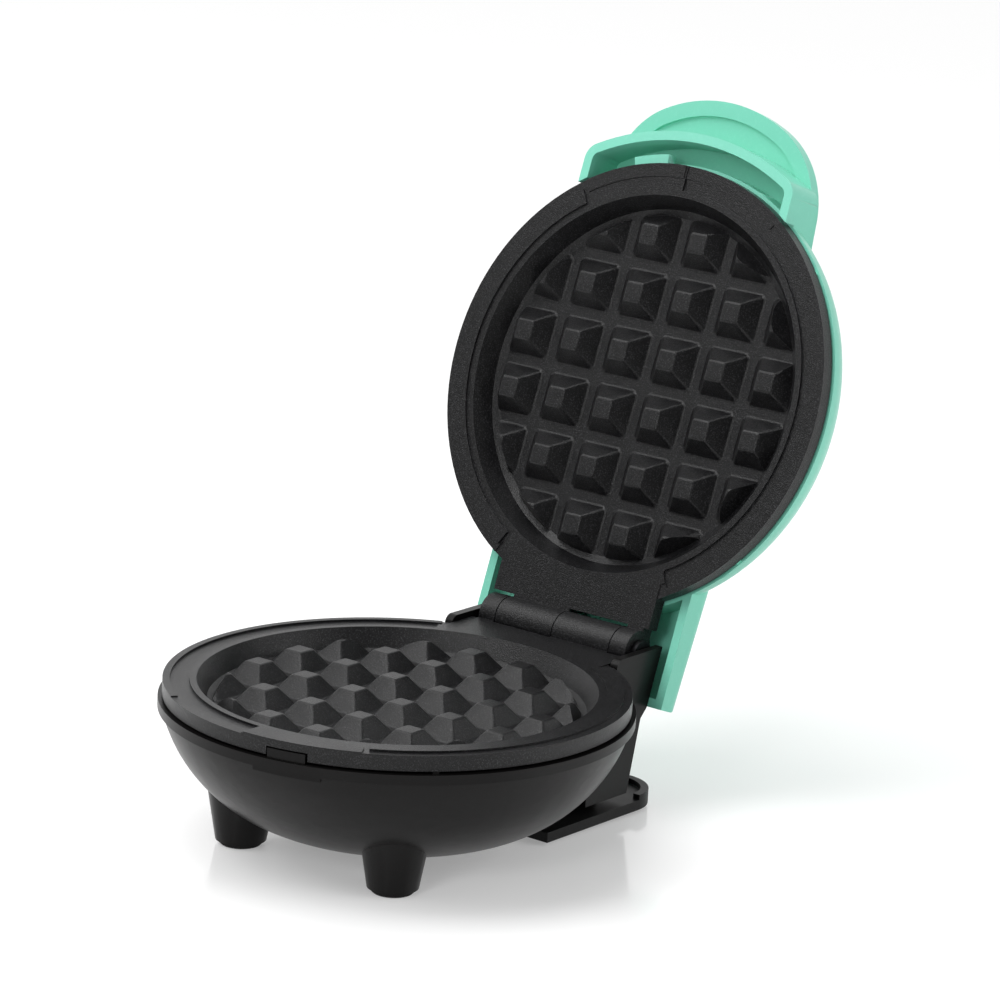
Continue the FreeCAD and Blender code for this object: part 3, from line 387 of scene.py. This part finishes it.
def soften_grid(work, facing):
    """Round the tops and then the feet of a plate's pyramids, told by the way that the plate faces."""
    for convex in (True, False):
        loops = []
        for edge in work.edges:
            if len(edge.link_faces) == 2 and edge.is_convex == convex:
                slope, flat = sorted(face.normal.dot(facing) for face in edge.link_faces)
                if flat > flat_facing and slope_facing[0] < slope < slope_facing[1]:
                    loops.append(edge)
        bmesh.ops.bevel(work, geom=loops, offset=grid_rounding, offset_type="OFFSET", segments=3,
                        profile=0.5, affect="EDGES", clamp_overlap=False, material=-1)
        work.normal_update()
        print("grid edges rounded:", len(loops), "tops" if convex else "feet")


def is_ridge(edge, facing):
    """Whether an edge runs between two slopes of a pyramid."""
    low, high = ridge_facing
    return facing is not None and all(low < face.normal.dot(facing) < high for face in edge.link_faces)


def weigh_edges(work, angle, facing, chosen):
    """Mark the edges that are to be rounded, and keep the rest crisp but for the pyramids' ridges."""
    weight = work.edges.layers.float.new("bevel_weight_edge")
    for edge in work.edges:
        if len(edge.link_faces) != 2 or edge.calc_face_angle() < crisp_angle:
            continue
        ridge = is_ridge(edge, facing)
        if edge.calc_face_angle() > math.radians(angle) and all(chosen(vert.co) for vert in edge.verts):
            edge[weight] = 1.0
        elif not ridge:
            edge.smooth = False

# %% Welded copies
weld_distance = 2e-6
flat_angle = math.radians(0.6)
face_slot, edge_slot = 0, 1


def everywhere(spot):
    """A choice that takes every spot."""
    return True


def welded_copy(node, angle, material, facing, chosen):
    """A solid's mesh, copied and welded, with its edges chosen and one material slot more for them."""
    mesh = nodes[node].data.copy()
    mesh.materials.clear()
    while len(mesh.materials) <= edge_slot:
        mesh.materials.append(material)
    work = bmesh.new()
    work.from_mesh(mesh)
    bmesh.ops.remove_doubles(work, verts=work.verts, dist=weld_distance)
    bmesh.ops.dissolve_limit(work, angle_limit=flat_angle, verts=work.verts, edges=work.edges)
    work.normal_update()
    for face in work.faces:
        face.material_index = face_slot
    if facing is not None:
        soften_grid(work, facing)
    weigh_edges(work, angle, facing, chosen)
    work.to_mesh(mesh)
    work.free()
    mesh.polygons.foreach_set("use_smooth", [True] * len(mesh.polygons))
    return mesh

# %% Rounded copies
def rounded_copy(node, material, width, segments, angle, facing=None, chosen=everywhere):
    """A copy of a solid with its chosen edges over an angle rounded, standing in for it."""
    mesh = welded_copy(node, angle, material, facing, chosen)
    piece = bpy.data.objects.new(node + "_rounded", mesh)
    bpy.context.scene.collection.objects.link(piece)
    soft = piece.modifiers.new("soft_edges", "BEVEL")
    soft.material = edge_slot
    soft.width = width
    soft.segments = segments
    soft.limit_method = "WEIGHT"
    soft.use_clamp_overlap = True
    soft.harden_normals = False
    even = piece.modifiers.new("even_shading", "WEIGHTED_NORMAL")
    even.keep_sharp = True
    done = made_plain(piece)
    on_edge = [0] * len(done.polygons)
    done.polygons.foreach_get("material_index", on_edge)
    mark = done.attributes.new("soft_edge", "FLOAT", "FACE")
    mark.data.foreach_set("value", [float(v) for v in on_edge])
    done.polygons.foreach_set("material_index", [face_slot] * len(on_edge))
    done.materials.clear()
    done.materials.append(material)
    stand_in(piece, node)
    print(piece.name, "faces:", len(done.polygons), "on edges:", sum(on_edge))

# %% [markdown]
# ## The two plates
# One casting serves twice: as it is in the base, and turned over in the lid. The bevel keeps to its
# baking side, because the back is hidden and has tiny edges that would hold the bevel back. In the
# lid, that side is found by turning a spot about the hinge to where it lies when the lid is shut.

# %% Rounded plates
hinge_setback = 69.8 * mm
opening = math.radians(110)
front_depth = 7.5 * mm
upward = Vector((0, 0, 1))
plate_axis = Vector((0, hinge.y - hinge_setback, 0))
lid_turn = (Matrix.Translation(hinge) @ Matrix.Rotation(-opening, 4, "X")
            @ Matrix.Translation(-hinge))
lid_shut = lid_turn.inverted()
lid_facing = lid_turn.to_3x3() @ -upward


def base_front(spot):
    """Whether a spot is on the baking side of the lower plate."""
    return spot.z > hinge.z - front_depth


def lid_front(spot):
    """Whether a spot is on the baking side of the upper plate."""
    return (lid_shut @ spot).z < hinge.z + front_depth


rounded_copy("lower_plate", nonstick, width=0.4 * mm, segments=2, angle=40,
             facing=upward, chosen=base_front)
rounded_copy("upper_plate", nonstick, width=0.4 * mm, segments=2, angle=40,
             facing=lid_facing, chosen=lid_front)

# %% [markdown]
# ## The mouldings
# The lid's tail, brow and handle tab stand out and have the softest edges. The dome needs none: it is
# smooth already, and its rim lies against the plate. The bowl, the foot plate and the bush for the
# lead are rounded at all their sharp edges. One width for all would be simpler, but thin walls and
# small steps need a finer one.

# %% Rounded mouldings
tail_start = 45 * mm
brow_start = -58 * mm


def outer_lid(spot):
    """Whether a spot is on the lid's tail, or on its brow and handle tab."""
    along = (lid_shut @ spot).y - plate_axis.y
    return along > tail_start or along < brow_start


rounded_copy("lid_shell", mint, width=0.8 * mm, segments=3, angle=40, chosen=outer_lid)
rounded_copy("base_housing", satin_black, width=0.4 * mm, segments=2, angle=32)
rounded_copy("rear_foot_plate", matte_black, width=0.6 * mm, segments=3, angle=40)
rounded_copy("cord_gland", rubber, width=0.4 * mm, segments=2, angle=40)

# %% [markdown]
# ## Screws
# The solids' screws are plain cones on cylinders. The real ones have a pan head with a cross for the
# driver. Each could be modelled by hand, but all of them share one shape, so a small Geometry Nodes
# tree makes it once, with named sizes, and puts a copy on every point that it is given. The copies
# are made real at the end.

# %% Head with a cross
head_taper = 0.8
cross_reach = 1.15


def scaled(tree, socket, factor):
    """A size times a plain number."""
    node = add(tree, "ShaderNodeMath", {1: factor}, operation="MULTIPLY")
    tree.links.new(socket, node.inputs[0])
    return node.outputs[0]


def lifted(tree, mesh, height):
    """A mesh moved up by a size."""
    shift = add(tree, "ShaderNodeCombineXYZ")
    tree.links.new(height, shift.inputs["Z"])
    move = add(tree, "GeometryNodeTransform")
    tree.links.new(mesh, move.inputs["Geometry"])
    tree.links.new(shift.outputs[0], move.inputs["Translation"])
    return move.outputs[0]


def crossed_head(tree, given):
    """A pan head below its seat, with two crossed bars cut out of it."""
    link = tree.links.new
    below = scaled(tree, given["Head Height"], -1.0)
    crown = add(tree, "GeometryNodeMeshCone", {"Vertices": 28})
    link(scaled(tree, given["Head Radius"], head_taper), crown.inputs["Radius Bottom"])
    link(given["Head Radius"], crown.inputs["Radius Top"])
    link(given["Head Height"], crown.inputs["Depth"])
    carve = add(tree, "GeometryNodeMeshBoolean", operation="DIFFERENCE", solver="EXACT")
    link(lifted(tree, crown.outputs["Mesh"], below), carve.inputs[0])
    for along, across in (("X", "Y"), ("Y", "X")):
        size = add(tree, "ShaderNodeCombineXYZ")
        link(scaled(tree, given["Head Radius"], cross_reach), size.inputs[along])
        link(given["Cross Width"], size.inputs[across])
        link(given["Head Height"], size.inputs["Z"])
        bar = add(tree, "GeometryNodeMeshCube")
        link(size.outputs[0], bar.inputs["Size"])
        link(lifted(tree, bar.outputs["Mesh"], below), carve.inputs[1])
    return carve.outputs[0]

# %% Screw tree
def screw_tree():
    """Geometry Nodes: a pan-head screw with a cross recess on every point, pointing along an axis."""
    tree = bpy.data.node_groups.new("pan_head_screws", "GeometryNodeTree")
    sockets = {"Geometry": "Geometry", "Head Radius": "Float", "Head Height": "Float",
               "Shank Radius": "Float", "Shank Length": "Float", "Cross Width": "Float",
               "Axis": "Vector", "Finish": "Material"}
    for label, kind in sockets.items():
        tree.interface.new_socket(label, in_out="INPUT", socket_type="NodeSocket" + kind)
    tree.interface.new_socket("Geometry", in_out="OUTPUT", socket_type="NodeSocketGeometry")
    given = tree.nodes.new("NodeGroupInput").outputs
    link = tree.links.new
    shank = add(tree, "GeometryNodeMeshCylinder", {"Vertices": 20})
    link(given["Shank Radius"], shank.inputs["Radius"])
    link(given["Shank Length"], shank.inputs["Depth"])
    whole = add(tree, "GeometryNodeJoinGeometry")
    link(crossed_head(tree, given), whole.inputs[0])
    link(lifted(tree, shank.outputs["Mesh"], scaled(tree, given["Shank Length"], 0.5)), whole.inputs[0])
    point = add(tree, "FunctionNodeAlignRotationToVector", axis="Z")
    link(given["Axis"], point.inputs["Vector"])
    place = add(tree, "GeometryNodeInstanceOnPoints")
    link(given["Geometry"], place.inputs["Points"])
    link(whole.outputs[0], place.inputs["Instance"])
    link(point.outputs[0], place.inputs["Rotation"])
    real = add(tree, "GeometryNodeRealizeInstances")
    link(place.outputs[0], real.inputs[0])
    paint = add(tree, "GeometryNodeSetMaterial")
    link(real.outputs[0], paint.inputs["Geometry"])
    link(given["Finish"], paint.inputs["Material"])
    link(paint.outputs[0], tree.nodes.new("NodeGroupOutput").inputs[0])
    return tree


pan_head_screws = screw_tree()
print("screw tree nodes:", len(pan_head_screws.nodes))

# %% Screws on their seats
head_radius = 2.8 * mm
head_height = 2.2 * mm
shank_radius = 1.25 * mm
cross_width = 0.75 * mm


def screws(node, seats, axis, length):
    """The screws of one node, made by the tree on its seats, standing in for the plain solids."""
    points = bpy.data.meshes.new(node + "_seats")
    points.from_pydata(seats, [], [])
    piece = bpy.data.objects.new(node + "_crossed", points)
    bpy.context.scene.collection.objects.link(piece)
    maker = piece.modifiers.new("screws", "NODES")
    maker.node_group = pan_head_screws
    sizes = {"Head Radius": head_radius, "Head Height": head_height, "Shank Radius": shank_radius,
             "Shank Length": length, "Cross Width": cross_width, "Axis": axis, "Finish": zinc}
    for socket in pan_head_screws.interface.items_tree:
        if socket.in_out == "INPUT" and socket.name in sizes:
            maker[socket.identifier] = sizes[socket.name]
    done = made_plain(piece)
    stand_in(piece, node)
    print(piece.name, "screws:", len(seats), "faces:", len(done.polygons))

# %% Screws in the base
boss_spots = ((25.8, -30.1), (24.0, 36.0))
foot_spots = ((19.0, 50.0),)
clamp_ring = 20
clamp_turns = [math.radians(angle) for angle in (30, 150, 270)]
places = {"base_screws": [(x * side, y) for x, y in boss_spots for side in (-1, 1)],
          "rear_foot_screws": [(x * side, y) for x, y in foot_spots for side in (-1, 1)],
          "lower_clamp_screws": [(clamp_ring * math.cos(a), clamp_ring * math.sin(a)) for a in clamp_turns]}
levels = {}
for node, spots in places.items():
    low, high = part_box(node)
    seat = low[2] + head_height
    length = high[2] - seat
    levels[node] = (seat, length)
    seats = [plate_axis + Vector((x * mm, y * mm, seat)) for x, y in spots]
    screws(node, seats, tuple(upward), length)

# %% Screws in the lid
seat, length = levels["lower_clamp_screws"]
mirrored_seat = 2 * hinge.z - seat
shut = [plate_axis + Vector((-x * mm, y * mm, mirrored_seat)) for x, y in places["lower_clamp_screws"]]
screws("upper_clamp_screws", [lid_turn @ spot for spot in shut], tuple(lid_facing), length)

# %% [markdown]
# ## Studio
# A white sweep: a big pale floor and a white world. The camera sees the world at strength 1, and so
# does anything shiny, but for the dim side of the studio that lies behind the camera: that is what
# keeps black parts black. What falls on the object as light is lower, and soft panels shape it. A
# picture of a studio could light it too, but it would be a file, and harder to steer.

# %% Floor
floor_reach = 6
floor_glow = 0.27
corners = [(-floor_reach, -floor_reach, 0), (floor_reach, -floor_reach, 0),
           (floor_reach, floor_reach, 0), (-floor_reach, floor_reach, 0)]
floor_mesh = bpy.data.meshes.new("pale_floor")
floor_mesh.from_pydata(corners, [], [(0, 1, 2, 3)])
floor = bpy.data.objects.new("pale_floor", floor_mesh)
bpy.context.scene.collection.objects.link(floor)
floor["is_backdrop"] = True
pale = bpy.data.materials.new("pale_sweep")
pale.use_nodes = True
tree = pale.node_tree
sheen = tree.nodes["Principled BSDF"]
sheen.inputs["Base Color"].default_value = (0.9, 0.9, 0.9, 1)
sheen.inputs["Roughness"].default_value = 0.12
sheen.inputs["Specular IOR Level"].default_value = 0.5
sheen.inputs["Emission Color"].default_value = (1, 1, 1, 1)
ray = add(tree, "ShaderNodeLightPath")
seen = add(tree, "ShaderNodeMath", operation="MAXIMUM")
glow = add(tree, "ShaderNodeMath", {1: floor_glow}, operation="MULTIPLY")
tree.links.new(ray.outputs["Is Camera Ray"], seen.inputs[0])
tree.links.new(ray.outputs["Is Glossy Ray"], seen.inputs[1])
tree.links.new(seen.outputs[0], glow.inputs[0])
tree.links.new(glow.outputs[0], sheen.inputs["Emission Strength"])
floor_mesh.materials.append(pale)
print("floor:", floor.name, "across:", 2 * floor_reach, "m")

# %% World
sky_light = 0.38
bright_side, dim_side = 1.0, 0.2
dim_from, dim_full = -0.4, 0.35
towards_camera = (math.sin(view_azimuth), -math.cos(view_azimuth), 0.0)
plain_sky, mirrored_sky = 2, 3
world = bpy.data.worlds.new("white_sweep")
bpy.context.scene.world = world
world.use_nodes = True
tree = world.node_tree
tree.nodes.clear()
link = tree.links.new
ray = add(tree, "ShaderNodeLightPath")
mirrored = add(tree, "ShaderNodeMath", operation="MAXIMUM")
link(ray.outputs["Is Glossy Ray"], mirrored.inputs[0])
link(ray.outputs["Is Transmission Ray"], mirrored.inputs[1])
way = add(tree, "ShaderNodeTexCoord")
front = add(tree, "ShaderNodeVectorMath", {1: towards_camera}, operation="DOT_PRODUCT")
link(way.outputs["Generated"], front.inputs[0])
dim = add(tree, "ShaderNodeMapRange", {"From Min": dim_from, "From Max": dim_full,
                                       "To Min": bright_side, "To Max": dim_side}, clamp=True)
link(front.outputs["Value"], dim.inputs["Value"])
soft = add(tree, "ShaderNodeMix", {plain_sky: sky_light}, data_type="FLOAT")
link(mirrored.outputs[0], soft.inputs[0])
link(dim.outputs["Result"], soft.inputs[mirrored_sky])
strength = add(tree, "ShaderNodeMath", operation="MAXIMUM")
link(soft.outputs[0], strength.inputs[0])
link(ray.outputs["Is Camera Ray"], strength.inputs[1])
sky = add(tree, "ShaderNodeBackground", {"Color": (1, 1, 1, 1)})
link(strength.outputs[0], sky.inputs["Strength"])
out = add(tree, "ShaderNodeOutputWorld")
link(sky.outputs[0], out.inputs[0])
print("world:", world.name)

# %% Soft panels
def panel(name, place, aim, size, power):
    """A soft square light that faces a point."""
    data = bpy.data.lights.new(name, "AREA")
    data.shape = "RECTANGLE"
    data.size = size
    data.size_y = size
    data.energy = power
    lamp = bpy.data.objects.new(name, data)
    bpy.context.scene.collection.objects.link(lamp)
    way = Vector(aim) - Vector(place)
    lamp.location = place
    lamp.rotation_mode = "QUATERNION"
    lamp.rotation_quaternion = way.to_track_quat("-Z", "Y")


middle = (0, 0, 0.08)
panel("top_panel", place=(-0.3, -0.2, 1.3), aim=middle, size=0.8, power=7.0)
panel("front_left_panel", place=(-0.55, -0.8, 1.2), aim=(0, 0.06, 0.14), size=0.8, power=8.0)
panel("right_panel", place=(1.2, 0.5, 0.6), aim=middle, size=0.8, power=5.5)
panel("front_panel", place=(0.29, -1.15, 0.6), aim=(0, 0.06, 0.12), size=0.35, power=3.2)
bpy.context.scene.view_settings.view_transform = "Standard"
print("panels:", len(bpy.data.lights))

# %% [markdown]
# ## Measure and finish
# The dressed object must stay the size of its solids, so its box is measured.

# %% Sizes
low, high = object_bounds()
